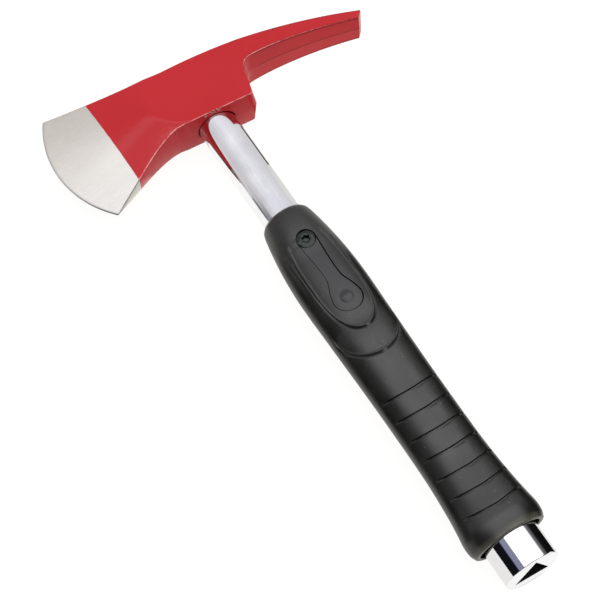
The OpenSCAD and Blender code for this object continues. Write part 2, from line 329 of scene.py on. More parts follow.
def chrome(name, haze, brush, dull, bright):
    """Bright plating with a haze of fine polishing lines along the handle."""
    n = Nodes(name)
    n.set(Metallic=1.0)
    lines = n.noise(900, 3, (1, 0.02, 1))
    cloud = n.noise(60, 3)
    n.to(Roughness=n.range(n.math("MULTIPLY", lines, cloud), 0.1, 0.45, haze * 0.6, haze * 1.5))
    n.to(Normal=n.bump(lines, brush, 0.00002))
    brushed = n.noise(1400, 4, (1, 0.012, 1))
    shade = n.math("ADD", n.math("MULTIPLY", cloud, 0.55), n.math("MULTIPLY", brushed, 0.45))
    n.to(Base_Color=n.ramp(shade, [(0.34, dull), (0.66, bright)]))
    return n.material


def specks_of_dust(n, cell, spread, rare):
    """Small bright dots, a few of them in every stretch of the surface."""
    dots = n.tree.nodes.new("ShaderNodeTexVoronoi")
    dots.inputs["Scale"].default_value = cell
    n.link(n.mapped((1, 1, 1)), dots.inputs["Vector"])
    near = n.range(dots.outputs["Distance"], spread * 0.5, spread, 1.0, 0.0)
    chosen = n.range(n.noise(cell * 0.6, 1), rare, rare + 0.05)
    return n.math("MULTIPLY", near, chosen, True)


def moulded(name, dark, light, roughness, dust, grain, sheen_at=None):
    """Matt moulded rubber or plastic with a fine grain, specks of dust, and where asked a painted olive
    sheen.
    """
    n = Nodes(name)
    cloud = n.noise(45, 4)
    colour = n.ramp(cloud, [(0.3, dark), (0.7, light)])
    fine = n.noise(1500, 3)
    if sheen_at is not None:
        # painted sheen: an olive tone over the pommel's end face, broken up by noise
        olive_sheen = n.math("MULTIPLY", sheen_at(n), n.range(n.noise(120, 4), 0.25, 0.75, 0.45, 1.0), True)
        colour = n.mix(olive_sheen, colour, (0.07, 0.068, 0.047))
    small = n.math("MULTIPLY", specks_of_dust(n, 640, 0.17, 0.57), dust * 0.5)
    large = n.math("MULTIPLY", specks_of_dust(n, 330, 0.095, 0.57), dust)
    n.to(Base_Color=n.mix(n.math("ADD", small, large, True), colour, (0.26, 0.26, 0.23)))
    n.to(Roughness=n.range(cloud, 0.3, 0.7, roughness - 0.05, roughness + 0.07))
    n.to(Normal=n.bump(n.noise(260, 3), 0.25, 0.00006, n.bump(fine, grain, 0.00003)))
    n.set(Specular_IOR_Level=0.5)
    return n.material


def pommel_end_sheen(n):
    """Where the rubber gets a painted olive sheen: nothing along the grip, full at the pommel's end face.
    """
    end = row_at("Y", GRIP_Y - GRIP_LEN)
    return n.range(n.axis("Y"), end + 0.0045, end + 0.0002)


def steel(name, colour, roughness):
    """Turned or blackened steel with fine tool marks."""
    n = Nodes(name)
    n.set(Metallic=0.9)
    cloud = n.noise(700, 3)
    bright = tuple(min(1.0, c * 1.12) for c in colour)
    n.to(Base_Color=n.ramp(cloud, [(0.3, colour), (0.7, bright)]))
    n.to(Roughness=n.range(cloud, 0.3, 0.7, roughness - 0.02, roughness + 0.03))
    n.to(Normal=n.bump(n.noise(1200, 3), 0.07, 0.00002))
    return n.material


chrome_tube = chrome("chrome_tube", 0.07, 0.15, (0.68, 0.68, 0.71), (0.8, 0.8, 0.805))
chrome_key = chrome("chrome_key", 0.03, 0.03, (0.85, 0.85, 0.875), (0.92, 0.92, 0.93))
rubber = moulded("rubber", (0.0038, 0.0036, 0.003), (0.0066, 0.0062, 0.0052), 0.32, 0.7, 0.25, pommel_end_sheen)
tongue_plastic = moulded("tongue_plastic", (0.006, 0.0064, 0.007), (0.009, 0.0095, 0.0105), 0.36, 0.5, 0.2)
core_plastic = moulded("core_plastic", (0.015, 0.0145, 0.013), (0.026, 0.025, 0.022), 0.45, 0.3, 0.2)
black_steel = steel("black_steel", (0.026, 0.031, 0.028), 0.25)
plain_steel = steel("plain_steel", (0.42, 0.42, 0.43), 0.3)
# dark_recess is painted shade: near-black steel for inside the key's deep recess and bore
dark_recess = steel("dark_recess", (0.01, 0.01, 0.01), 0.6)
braze = steel("braze", (0.5, 0.27, 0.12), 0.35)


def low_edges(n):
    """The narrow rounded edges between the cheeks and the underside, by how they face."""
    up = n.math("ABSOLUTE", n.facing("Z"))
    bevel = n.math("MULTIPLY", n.range(up, 0.5, 0.66), n.range(up, 0.97, 0.86))
    return n.math("MULTIPLY", bevel, n.range(n.facing("Y"), -0.12, -0.35))


def painted_edge_highlight(n):
    """A painted highlight: broken light lines on the low edges, fainter along the pick."""
    broken = n.range(n.noise(420, 3), 0.36, 0.56, 0.15, 1.0)
    fainter = n.range(n.axis("X"), row_at("X", 45), row_at("X", 100), 0.7, 0.2)
    return n.all_of(low_edges(n), broken, fainter)


def painted_seam_shade(n):
    """Painted shade along the pick: dark lines on its parting line, and one close under its cheek edge."""
    start, end = row_at("X", 41), row_at("X", 111)
    from_middle = n.math("ABSOLUTE", n.math("SUBTRACT", n.axis("Z"), float(AXIS_Z)))
    parting = n.range(from_middle, 0.0002, 0.0005, 1.0, 0.0)
    # the pick gets thinner, so the line under its edge comes closer to the middle
    edge = n.range(n.axis("X"), start, end, 0.0146, 0.0109)
    off_edge = n.math("ABSOLUTE", n.math("SUBTRACT", from_middle, edge))
    under_edge = n.range(off_edge, 0.0002, 0.0005, 1.0, 0.0)
    on_pick = n.range(n.axis("X"), start - 0.002, start + 0.002)
    on_underside = n.range(n.facing("Y"), -0.3, -0.6)
    return n.all_of(n.math("MAXIMUM", parting, under_edge), on_pick, on_underside)


def chips(n):
    """Enamel scratched off the narrow strip between the eye and the cheek's edge."""
    left, right, high = row_at("X", -9), row_at("X", 5), row_at("Z", 13.4)
    return n.all_of(
        n.range(n.axis("X"), left, left + 0.002),
        n.range(n.axis("X"), right, right - 0.004),
        n.range(n.axis("Z"), high, high + 0.0003),
        n.range(n.facing("Y"), -0.15, -0.4),
        n.range(n.noise(900, 4, (0.45, 1, 1)), 0.5, 0.55),
    )


def bare_steel(n, top, low):
    """1 on the ground blade, 0 on the enamel: past a line through the points top and low."""
    lean = float((top[0] - low[0]) / (top[1] - low[1]))
    above_low = n.math("SUBTRACT", n.axis("Y"), float(low[1]))
    line_x = n.math("ADD", n.math("MULTIPLY", above_low, lean), float(low[0]))
    wobble = n.range(n.noise(700, 2), 0.0, 1.0, -0.00012, 0.00012)
    past = n.math("ADD", n.math("SUBTRACT", line_x, n.axis("X")), wobble)
    return n.range(past, -0.00006, 0.00006)


def enamel_colour(n):
    """Red enamel with painted shade on the pick's seam lines, a painted highlight on its low edges, and the
    chips by the eye.
    """
    enamel = n.ramp(n.noise(22, 3), [(0.3, (0.385, 0.0195, 0.024)), (0.7, (0.405, 0.0215, 0.0265))])
    # painted shade: dark lines along the pick's parting line and under its edge
    enamel = n.mix(n.math("MULTIPLY", painted_seam_shade(n), 0.9), enamel, (0.09, 0.002, 0.005))
    # painted highlight: light pink lines along the enamel's low edges
    enamel = n.mix(painted_edge_highlight(n), enamel, (0.86, 0.5, 0.48))
    scratches = n.noise(1300, 3, (0.4, 1, 1))
    scratched = n.ramp(scratches, [(0.47, (0.045, 0.018, 0.012)), (0.55, (0.68, 0.5, 0.38))])
    return n.mix(chips(n), enamel, scratched)


def ground_colour(n, streak, top, low):
    """Ground steel, streaked along the head, with a painted warm reflection towards its top and painted
    shade on its low edges.
    """
    broad = n.noise(26, 3, (0.5, 3, 3))
    shade = n.math("ADD", n.math("MULTIPLY", streak, 0.75), n.math("MULTIPLY", broad, 0.25))
    greys = [(0.3, (0.37, 0.357, 0.34)), (0.5, (0.44, 0.427, 0.41)), (0.68, (0.51, 0.497, 0.484))]
    # painted reflection: a warmer tone towards the blade's top
    warmer = n.range(n.axis("Y"), float(low[1]), float(top[1]), 0.0, 0.5)
    ground = n.mix(warmer, n.ramp(shade, greys), (0.52, 0.475, 0.41))
    # painted shade: darker on the low edges, by how they face
    return n.mix(n.math("MULTIPLY", low_edges(n), 0.85), ground, (0.1, 0.105, 0.1))


def head_finish():
    """Red enamel over the forging, and the blade ground bare past a straight border."""
    n = Nodes("head_enamel")
    top, low = place([[-61.6, 59.0, 0], [-59.7, -3.0, 0]])
    bare = bare_steel(n, top, low)
    coated = n.math("SUBTRACT", 1.0, bare)
    streak = n.noise(95, 6, (0.35, 9, 9), 0.7)
    n.to(Base_Color=n.mix(bare, enamel_colour(n), ground_colour(n, streak, top, low)), Metallic=bare)
    rough_ground = n.math("MULTIPLY", n.range(streak, 0.3, 0.7, 0.38, 0.52), bare)
    rough_enamel = n.math("MULTIPLY", n.range(n.noise(60, 3), 0.3, 0.7, 0.1, 0.15), coated)
    n.to(Roughness=n.math("ADD", rough_ground, rough_enamel))
    # the enamel's orange peel, the grinding marks, and the step where the enamel ends
    peel = n.bump(n.noise(420, 2), 0.12, 0.00005)
    marks = n.bump(n.math("MULTIPLY", streak, bare), 0.35, 0.00006, peel)
    n.to(Normal=n.bump(coated, 0.6, 0.00012, marks))
    n.set(Specular_IOR_Level=0.08)
    return n.material


enamel_head = head_finish()


# ---- head -----------------------------------------------------------------

EDGE_R = 65.0                # the cutting edge is an arc round EDGE_C
EDGE_C = np.array([-33.5, 31.5])
EDGE_TOP = math.radians(147)
EDGE_LOW = math.radians(222.7)
CHEEK = 16.0                 # half thickness between the cheeks
WEDGE = 0.24                 # how fast the blade gets thicker behind its edge
PICK_HALF = 12.3             # half thickness at the end of the pick
HEEL = np.array([25.7, 6.3])
BEARD = np.array([-24, 10.6])
PICK_ROOT = np.array([38.5, 29.7])
PICK_LOW = np.array([108, 17.7])
PICK_TOP = np.array([111.9, 21.65])
CROWN_START = np.array([-12, 49.2])
EYE_SHARE = 0.27             # part of the crown that lies over the eye
BACK_SHARE = 0.40            # where the pick starts on the crown
HEEL_ROUND = 1.3
HEEL_TURN = 0.06             # where the heel's corner ends on the curve behind it
CORNER_ROUND = 0.75
DRAFT = 1.2                  # how far the underside stands out along its parting line
BEARD_DRAFT = 0.4
HEEL_DRAFT = 2.0
BACK_DRAFT = 0.8
PICK_DRAFT = 0.6


def edge_point(s):
    """A point of the cutting edge, from its low corner to its top corner."""
    a = mix(EDGE_LOW, EDGE_TOP, s)
    return EDGE_C + EDGE_R * np.array([math.cos(a), math.sin(a)])


TOP_CORNER = edge_point(1.0)
LOW_CORNER = edge_point(0.0)


def crown(t):
    return bezier(CROWN_START, (28, 47.6), (72, 38.5), PICK_TOP, t)


def back_low(t):
    return bezier(HEEL, (30.2, 21.5), (28.8, 29.4), PICK_ROOT, t)


def blade_stations():
    rows = []
    for i in range(49):
        t = (i / 48) ** 1.5
        low = bezier(LOW_CORNER, (-57.7, -2.3), (-40, 9.7), BEARD, t)
        top = bezier(TOP_CORNER, (-56, 57.6), (-30, 50.4), CROWN_START, t)
        draft = mix(BEARD_DRAFT, DRAFT, smooth((t - 0.5) * 2))
        rows.append((low, top, CHEEK, 1 - smooth(t * 1.15), draft))
    return rows


def eye_stations():
    """Under the eye to the heel, and round the heel's corner."""
    rows = []
    stop = HEEL - unit(HEEL - BEARD) * HEEL_ROUND
    for t in np.linspace(0, 1, 13)[1:]:
        rows.append((mix(BEARD, stop, t), crown(EYE_SHARE * t), CHEEK, 0, DRAFT))
    for t in np.linspace(0, 1, 6)[1:]:
        low = (1 - t) ** 2 * stop + 2 * t * (1 - t) * HEEL + t * t * back_low(HEEL_TURN)
        top = crown(EYE_SHARE + 0.01 * t)
        rows.append((low, top, CHEEK, 0, mix(DRAFT, HEEL_DRAFT, smooth(t))))
    return rows


def pick_stations():
    """Up the back of the eye, and out along the pick."""
    rows = []
    for t in np.linspace(0, 1, 21)[1:]:
        top = crown(mix(EYE_SHARE + 0.01, BACK_SHARE, t))
        rows.append((back_low(mix(HEEL_TURN, 1, t)), top, CHEEK, 0, mix(HEEL_DRAFT, BACK_DRAFT, t)))
    for t in np.linspace(0, 1, 31)[1:]:
        low = bezier(PICK_ROOT, (60, 29.8), (88, 24), PICK_LOW, t)
        rows.append((low, crown(mix(BACK_SHARE, 1, t)), mix(CHEEK, PICK_HALF, t), 0, PICK_DRAFT))
    return rows


def head_ring(rows, i, steps=28):
    """One closed ring: low ridge, front cheek, top ridge, back cheek.

    A row is (low point, top point, half thickness, share of edge curve, low ridge).
    """
    low, top, thick, curve, low_ridge = rows[i]
    before, after = rows[max(i - 1, 0)], rows[min(i + 1, len(rows) - 1)]

    def outward(k, side):
        run = unit(after[k] - before[k])
        return np.array([-run[1], run[0]]) * side

    shares = np.linspace(0, 1, steps + 1)
    chord = [mix(low, top, s) for s in shares]
    bulge = [edge_point(s) - mix(LOW_CORNER, TOP_CORNER, s) for s in shares]
    flat = [p + curve * q for p, q in zip(chord, bulge)]
    run = [np.linalg.norm(p - edge_point(s)) for p, s in zip(flat, shares)]
    half = [min(thick, 0.1 + min(r, 0.8) * 0.38 + r * WEDGE) for r in run]
    cheek = [np.array([p[0], p[1], h]) for p, h in zip(flat, half)]
    ridge_low = np.array([*(low + outward(0, -1) * min(low_ridge, half[0] / 4)), 0])
    ridge_top = np.array([*(top + outward(1, 1) * min(0.8, half[-1] / 6)), 0])

    def corner(end, inner, ridge):
        """Rounds the corner at end, from the ridge's facet to the cheek."""
        size = min(CORNER_ROUND, 0.3 * end[2])
        a = end + unit(ridge - end) * size
        b = end + unit(inner - end) * size
        return [(1 - t) ** 2 * a + 2 * t * (1 - t) * end + t * t * b for t in np.linspace(0, 1, 5)]

    def crowned(ridge, start):
        """Points from the low ridge to its corner: on an arc under the eye, straight behind it."""
        rise = outward(0, -1) * low_ridge * smooth((24 - low[0]) / 6)
        arch = np.array([*rise, 0])
        return [mix(ridge, start, u) + arch * u * (1 - u) for u in (0.05, 0.2, 0.4, 0.6, 0.8)]

    def facet(ridge, start):
        """Two points on the way from the ridge, so that only the ridge bends."""
        away = start - ridge
        near = min(0.6, 0.3 * np.linalg.norm(away))
        return [ridge + unit(away) * near, mix(ridge, start, 0.6)]

    low_corner = corner(cheek[0], cheek[1], ridge_low)
    top_corner = corner(cheek[-1], cheek[-2], ridge_top)[::-1]
    front = [
        ridge_low, *crowned(ridge_low, low_corner[0]), *low_corner,
        *cheek[1:-1],
        *top_corner, *facet(ridge_top, top_corner[-1])[::-1], ridge_top,
    ]
    back = [p * np.array([1, 1, -1]) for p in front[-2:0:-1]]
    return front + back


def pick_end(last):
    """Rings that round over the end of the pick, with a slight nose, from its last ring."""
    last = np.array(last)
    middle = last.mean(axis=0)
    up = unit(PICK_TOP - PICK_LOW)
    ahead = np.array([up[1], -up[0], 0])
    nose = (1 - (last[:, 2:3] / PICK_HALF) ** 2) * 0.35
    rings = []
    for shrink, step in ((0.985, 0.22), (0.94, 0.42), (0.86, 0.5)):
        ring = last.copy()
        ring[:, :2] = middle[:2] + (last[:, :2] - middle[:2]) * shrink
        ring[:, 2] = last[:, 2] * (1 - (1 - shrink) * 0.28)
        rings.append(list(ring + ahead * step * (0.15 + nose)))
    return rings


def strips_across(base, count):
    """Faces that close a ring of the head with strips from its front to its back."""
    half = count // 2
    faces = []
    for j in range(half):
        a, b = base + j, base + j + 1
        c, d = base + (count - j - 1) % count, base + (count - j) % count
        faces.append((a, b, c) if j == 0 else ((a, b, c, d) if j < half - 1 else (a, b, d)))
    return faces


def build_head():
    rows = blade_stations() + eye_stations() + pick_stations()
    rings = [head_ring(rows, i) for i in range(len(rows))]
    rings += pick_end(rings[-1])
    count = len(rings[0])
    points = [p for ring in rings for p in ring]
    faces = ring_faces(len(rings), count)
    faces += strips_across(0, count) + strips_across((len(rings) - 1) * count, count)
    head = new_piece("head_forging", points, faces, [enamel_head])
    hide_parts("axe_head")
    tidy_normals(head)
    # the eye: wide round the tube, narrow round its neck, and flared at the crown
    bore = [
        (TUBE_R + EYE_GAP, -10), (TUBE_R + EYE_GAP, SHOULDER_Y),
        (NECK_R, SHOULDER_Y), (NECK_R, CROWN_Y - 2.2), (NECK_R + 3.5, CROWN_Y + 6),
    ]
    cut(head, cutter_of(*lathe(bore, 128)))
    tidy_normals(head, 30)
    weigh_normals(head)


# ---- handle -----------------------------------------------------------------


def build_tube():
    low = (tube_low[1] - ORIGIN[1]) / MM
    high = (tube_high[1] - ORIGIN[1]) / MM
    inner = TUBE_R - 1.6
    neck = NECK_R - 0.03
    profile = [
        (inner, low), (TUBE_R, low),
        *[(TUBE_R, y) for y in np.linspace(low + 2, SHOULDER_Y - 0.8, 24)],
        *arc((TUBE_R - 0.6, SHOULDER_Y - 0.7), 0.6, 0, 80, 5),
        (neck, SHOULDER_Y - 0.05), (neck, high), (neck - 1.6, high), (neck - 1.6, SHOULDER_Y - 3),
        (inner, SHOULDER_Y - 5), (inner, low),
    ]
    points, faces = lathe(profile, closed_ends=False)
    tube = new_piece("handle_tube_chromed", points, faces, [chrome_tube])
    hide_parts("handle_tube")
    tidy_normals(tube)


def recess_outline():
    """The key's triangular recess, with slightly rounded corners, as points (x, z)."""
    rounding = 0.45
    outline = []
    for k in range(3):
        a = math.radians(90 + 120 * k) + KEY_TURN
        centre = (KEY_CORNER - 2 * rounding) * np.array([math.cos(a), math.sin(a)])
        for turn in np.linspace(-60, 60, 7):
            b = a + math.radians(turn)
            outline.append(centre + rounding * np.array([math.cos(b), math.sin(b)]))
    return outline


def build_key():
    length = (key_high[1] - key_low[1]) / MM
    high = KEY_Y + length
    profile = [
        (0.01, KEY_Y), (KEY_R - 1.4, KEY_Y),
        *arc((KEY_R - 1.2, KEY_Y + 1.2), 1.2, -90, 0, 9),
        *[(KEY_R, y) for y in np.linspace(KEY_Y + 4, high - 4, 12)],
        *arc((KEY_R - 0.8, high - 0.8), 0.8, 0, 90, 5), (0.01, high),
    ]
    points, faces = lathe(profile)
    key = new_piece("key_socket_chromed", points, faces, [chrome_key, dark_recess])
    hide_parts("key_socket")
    tidy_normals(key)
    outline = recess_outline()
    points = [(x, y, z) for y in (KEY_Y - 5, KEY_Y + KEY_DEPTH) for x, z in outline]
    faces = ring_faces(2, len(outline), closed_ends=True)
    cut(key, cutter_of(points, faces, [dark_recess]))
    # the bore for the tube, from the other end
    bore = [(TUBE_R + 0.03, high + 5), (TUBE_R + 0.03, KEY_Y + 26)]
    cut(key, cutter_of(*lathe(bore, 96), [dark_recess]))
    # the recess's walls and floor take the near-black steel, painted shade for the deep recess
    for face in key.data.polygons:
        x, y, z = (np.array(face.center) - ORIGIN) / MM
        wall = math.hypot(x, z) < KEY_CORNER + 0.5 and abs(face.normal.y) < 0.5
        floor = math.hypot(x, z) < KEY_CORNER and abs(y - KEY_Y - KEY_DEPTH) < 0.5
        face.material_index = 1 if wall or floor else 0
    tidy_normals(key, 25)
    weigh_normals(key)


def build_fittings():
    """The small metal pieces that keep their CAD shape."""
    for node, material in (
        ("expander_plug", black_steel), ("braze_ring", braze), ("grip_core", core_plastic),
        ("latch_peg", plain_steel), ("spacer_bush", plain_steel), ("rivet_nut", braze),
        ("tube_insert", plain_steel), ("socket_pin", plain_steel),
    ):
        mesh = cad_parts[node].data
        mesh.materials.clear()
        mesh.materials.append(material)


# ---- grip -----------------------------------------------------------------

# half width of the grip at distances from its rim
BELLY = np.array([
    (0, 13.4), (2, 15.4), (10, 17.3), (25, 19.6), (40, 21), (55, 21.5), (85, 21), (125, 20.3),
    (165, 20.2), (187, 20.6), (208, 22), (222, 23.5), (229, 24.36), (235, 24.1), (238, 23), (GRIP_LEN, 21),
])


def half_width(s):
    """Half width of the grip at distances s from its rim, eased between the stations."""
    s = np.asarray(s, float)
    x, y = BELLY[:, 0], BELLY[:, 1]
    slope = np.gradient(y, x)
    slope[1:-1] = (y[2:] - y[:-2]) / (x[2:] - x[:-2])
    i = np.clip(np.searchsorted(x, s, side="right") - 1, 0, len(x) - 2)
    run = x[i + 1] - x[i]
    t = (s - x[i]) / run
    return (
        y[i] * (2 * t**3 - 3 * t**2 + 1) + y[i + 1] * (3 * t**2 - 2 * t**3)
        + run * slope[i] * (t**3 - 2 * t**2 + t) + run * slope[i + 1] * (t**3 - t**2)
    )


def oval(s):
    """The grip's height as a share of its width: round at the rim, oval further down."""
    return mix(1.0, GRIP_OVAL, smooth(np.asarray(s) / 38))


def step_down(distance, width=0.5):
    """1 inside an outline, 0 outside, with a crisp rounded step between."""
    return 1 - smooth((distance + width * 0.4) / width)


def hump(distance, width):
    """A smooth bump over an outline."""
    return np.exp(-((distance / width) ** 2))


def inner_panel(x, s):
    """Signed distance, about in millimetres, outside the U that frames the tongue."""
    below = np.maximum(s - 52, 0) / 39
    above = np.maximum(48 - s, 0)
    width = 14.2 - above**2 * 0.004
    f = (x / width) ** 2 + below**3 - 1
    slope_x = 2 * np.abs(x) / width**2
    slope_s = 3 / 39 * below**2
    return f / np.maximum(np.hypot(slope_x, slope_s), 0.02)


def outer_panel(x, s):
    """Signed distance outside the larger U below it."""
    below = np.maximum(s - 86, 0) / 23.2
    width = 16 + 3.2 * smooth((s - 45) / 41)
    f = (x / width) ** 2 + below**2.2 - 1
    slope_x = 2 * np.abs(x) / width**2
    slope_s = 2.2 / 23.2 * below**1.2
    return f / np.maximum(np.hypot(slope_x, slope_s), 0.02)


def panels(x, z, s):
    """Height of the two U-shaped terraces, with a bead on each rim and a dip outside."""
    top = smooth((z + 2) / 6)
    inner, outer = inner_panel(x, s), outer_panel(x, s)
    # how strong each line is, from its rounded start to the foot of its U
    start_in, start_out = smooth((s - 21) / 3), smooth((s - 26) / 2.5)
    deep_in, deep_out = smooth((s - 42) / 30), smooth((s - 84) / 14)
    # the lines break off right of the foot, and the outer one fades beside the tongue
    foot_in = 1 - 0.9 * hump(x - 0.8, 1.6) * smooth((s - 80) / 6)
    foot_out = 1 - 0.9 * hump(x - 0.6, 1.5) * smooth((s - 98) / 6)
    beside = 1 - 0.8 * smooth((s - 44) / 12) * (1 - smooth((s - 84) / 8))
    bead_in = start_in * (0.36 - 0.2 * smooth((s - 60) / 20)) * hump(inner + 0.6, 0.6)
    bead_out = start_out * 0.2 * beside * hump(outer + 0.5, 0.5)
    step_in = (0.08 * start_in + 0.7 * deep_in * foot_in) * step_down(inner, 0.5)
    step_out = (0.08 * start_out * beside + 0.55 * deep_out * foot_out) * step_down(outer, 0.5)
    dip_in = start_in * (0.1 + 0.42 * deep_in) * foot_in * hump(inner - 0.45, 0.45)
    dip_out = start_out * (0.08 * beside + 0.36 * deep_out) * foot_out * hump(outer - 0.45, 0.45)
    return top * (step_in + step_out + bead_in + bead_out - dip_in - dip_out)


def groove_bend(u):
    """How much of the grooves' curve the rows of the mesh follow at distance u."""
    return smooth((u - 112) / 16) * (1 - smooth((u - 223.5) / 7))


def grooves_at(x, u):
    """Depth of the finger grooves: narrow slots that run out towards both sides."""
    depth = 1.35 * smooth((x + 18.6) / 4) * smooth((20.3 - x) / 1.8)
    half = 0.34 + 0.008 * (x + 20)
    total = np.zeros_like(x)
    for k in range(GROOVES):
        away = np.abs(u - GROOVE_FIRST - k * GROOVE_PITCH)
        total += 1 - smooth((away - half) / 0.4)
    return depth * total


def skin_top(x, s):
    """Height of the skin's upper surface over the handle axis, where the tongue lies."""
    a = half_width(s)
    b = a * oval(s)
    z = b * np.sqrt(np.maximum(1 - (x / a) ** 2, 0.05))
    return z + panels(x, z, s) * z / np.maximum(np.hypot(x, z), 1)


def spaced(*stretches):
    """Places along the grip: (start, end, step) stretches joined end to end."""
    places = []
    for start, end, step in stretches:
        count = max(1, round((end - start) / step))
        places += list(np.linspace(start, end, count, endpoint=False))
    return np.array(places + [stretches[-1][1]])


def groove_rows():
    """Stretches of rows that are close together only where a groove is."""
    stretches, at = [], 112.0
    for k in range(GROOVES):
        centre = GROOVE_FIRST + k * GROOVE_PITCH
        stretches += [(at, centre - 1.0, 1.1), (centre - 1.0, centre + 1.0, 0.125)]
        at = centre + 1.0
    return stretches + [(at, 227, 0.9)]


def grip_angles():
    """Angles round the grip, close together on the side that carries the panels."""
    upper = np.linspace(-8, 188, 200, endpoint=False)
    lower = np.linspace(188, 352, 90, endpoint=False)
    return np.radians(np.concatenate([upper, lower]))


END_ROUND = 1.5      # rounding of the pommel's outer edge
END_SLANT = 3.0      # how much shorter the grip is on the side it lies on


def slant(w, s):
    """How far the lower side of the pommel draws back from a square end."""
    return (1 - np.sin(w)) / 2 * END_SLANT * smooth((s - 212) / 27)


def end_outline(t):
    """The pommel's outer edge, as its share of the way round the corner, 0 to 1."""
    a = math.radians(90 * t)
    return GRIP_LEN - END_ROUND * (1 - math.sin(a)), END_ROUND * (1 - math.cos(a))


def skin_ring(w, u):
    """One ring of the outer skin at distance u from the rim."""
    x = half_width(u) * np.cos(w)
    s = u - groove_bend(u) * 0.0105 * x * x
    a = half_width(s)
    b = a * oval(s)
    x, z = a * np.cos(w), b * np.sin(w)
    out = panels(x, z, s) - grooves_at(x, np.full_like(x, u))
    grow = 1 + out / np.hypot(x, z)
    return np.stack([x * grow, GRIP_Y - s + slant(w, s), z * grow], axis=1)


def plain_ring(w, a, b, s):
    """One oval ring, a by b, at distance s from the rim."""
    return np.stack([a * np.cos(w), GRIP_Y - s + slant(w, s), b * np.sin(w)], axis=1)


def rim_rings(w, inner):
    """From the tube out over the rounded rim."""
    rings = [plain_ring(w, inner, inner, 1.4)]
    for a in np.radians(np.linspace(180, 50, 7)):
        radius = half_width(0.8) - 0.95 + 0.8 * math.cos(a)
        if radius > inner + 0.05:
            rings.append(plain_ring(w, radius, radius, 0.8 - 0.8 * math.sin(a)))
    return rings


def pommel_rings(w):
    """Round the pommel's outer edge and over its end face into the mouth."""
    wide = half_width(GRIP_LEN - END_ROUND)
    rings = []
    for t in np.linspace(0.12, 1, 8):
        s, inset = end_outline(t)
        rings.append(plain_ring(w, wide - inset, wide * GRIP_OVAL - inset, s))
    mouth_a, mouth_b = wide - SKIN, max(wide * GRIP_OVAL - SKIN, KEY_R + 0.3)
    rings.append(plain_ring(w, mouth_a + 0.35, mouth_b + 0.35, GRIP_LEN))
    rings.append(plain_ring(w, mouth_a, mouth_b, GRIP_LEN - 0.35))
    return rings


def lining_rings(w, inner):
    """Back up inside the skin to the rim."""
    rings = []
    for s in (234, 228, 220, 214.6):
        a = half_width(s)
        rings.append(plain_ring(w, a - SKIN, max(a * GRIP_OVAL - SKIN, KEY_R + 0.3), s))
    for s in (200, 160, 120, 80, 50, 30, 15, 8, 4):
        a = half_width(s)
        rings.append(plain_ring(w, a - SKIN, a * oval(s) - SKIN, s))
    return rings + [plain_ring(w, inner, inner, 3.6)]


def grip_rings():
    w = grip_angles()
    inner = TUBE_R + 0.05
    places = spaced(
        (0.8, 14, 0.6), (14, 92, 0.34), (92, 112, 0.32), *groove_rows(),
        (227, GRIP_LEN - END_ROUND, 0.8),
    )
    skin = [skin_ring(w, u) for u in places]
    return rim_rings(w, inner) + skin + pommel_rings(w) + lining_rings(w, inner), len(w)


def tongue_side():
    """Right side of the tongue, from its narrow end to its wide end."""
    waist = (4.5, SCREW_Y - 28.5)
    neck = ((CLAMP_R, SCREW_Y), (5.4, SCREW_Y - 10), (4.2, SCREW_Y - 20), waist)
    flare = (waist, (4.8, SCREW_Y - 34), (8.1, SCREW_Y - 36.5), (THUMB_R, THUMB_Y))
    narrow_end = np.radians(np.linspace(90, 0, 16))
    wide_end = np.radians(np.linspace(0, -90, 22)[1:])
    side = [(CLAMP_R * math.cos(a), SCREW_Y + CLAMP_R * math.sin(a)) for a in narrow_end]
    side += [tuple(bezier(*neck, t)) for t in np.linspace(0, 1, 25)[1:]]
    side += [tuple(bezier(*flare, t)) for t in np.linspace(0, 1, 20)[1:]]
    side += [(THUMB_R * math.cos(a), THUMB_Y + THUMB_R * math.sin(a)) for a in wide_end]
    return np.array(side)


def tongue_outline(gap=0.0, shift=(0.0, 0.0)):
    """The whole outline, clockwise from its narrow end, grown by a gap and moved."""
    side = tongue_side()
    loop = np.concatenate([side, (side * [-1, 1])[-2:0:-1]])
    ahead = np.roll(loop, -1, axis=0) - np.roll(loop, 1, axis=0)
    normal = np.stack([-ahead[:, 1], ahead[:, 0]], axis=1)
    normal /= np.linalg.norm(normal, axis=1)[:, None]
    return loop + normal * gap + np.array(shift)


def prism(outline, low, high):
    """A cutter: an outline seen from above, between two heights."""
    points = [(x, y, z) for z in (low, high) for x, y in outline]
    return cutter_of(points, ring_faces(2, len(outline), closed_ends=True))


def build_grip():
    rings, count = grip_rings()
    points = np.concatenate(rings)
    faces = ring_faces(len(rings), count)
    last = (len(rings) - 1) * count
    faces += [(last + j, last + (j + 1) % count, (j + 1) % count, j) for j in range(count)]
    grip = new_piece("grip_skin", points, faces, [rubber])
    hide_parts("grip_sleeve")
    tidy_normals(grip, 60)
    cut(grip, prism(tongue_outline(WELL_GAP, WELL_SHIFT), TUBE_R - 1, 26))
    tidy_normals(grip, 50)


def tongue_top(xy):
    """Height of the tongue's upper face, a little lower than the skin beside it."""
    return skin_top(xy[:, 0], GRIP_Y - xy[:, 1]) - 0.2


def tongue_under(xy):
    """Height of the tongue's lower face, which follows the tube."""
    return np.sqrt(np.maximum((TUBE_R + 2.15) ** 2 - xy[:, 0] ** 2, 0))


def tongue_upper(outline, spine, reach):
    """Loops from the tongue's outline up over its rounded edge and in to its spine."""
    edge = 0.45
    rings = [np.column_stack([outline, tongue_under(outline)])]
    for turn in np.radians(np.linspace(0, 90, 6)):
        xy = mix(outline, spine, edge * (1 - math.cos(turn)) / reach)
        rings.append(np.column_stack([xy, tongue_top(xy) - edge * (1 - math.sin(turn))]))
    start = mix(outline, spine, edge / reach)
    for share in np.linspace(0, 1, 24)[1:]:
        xy = mix(start, spine, share)
        rings.append(np.column_stack([xy, tongue_top(xy)]))
    return rings


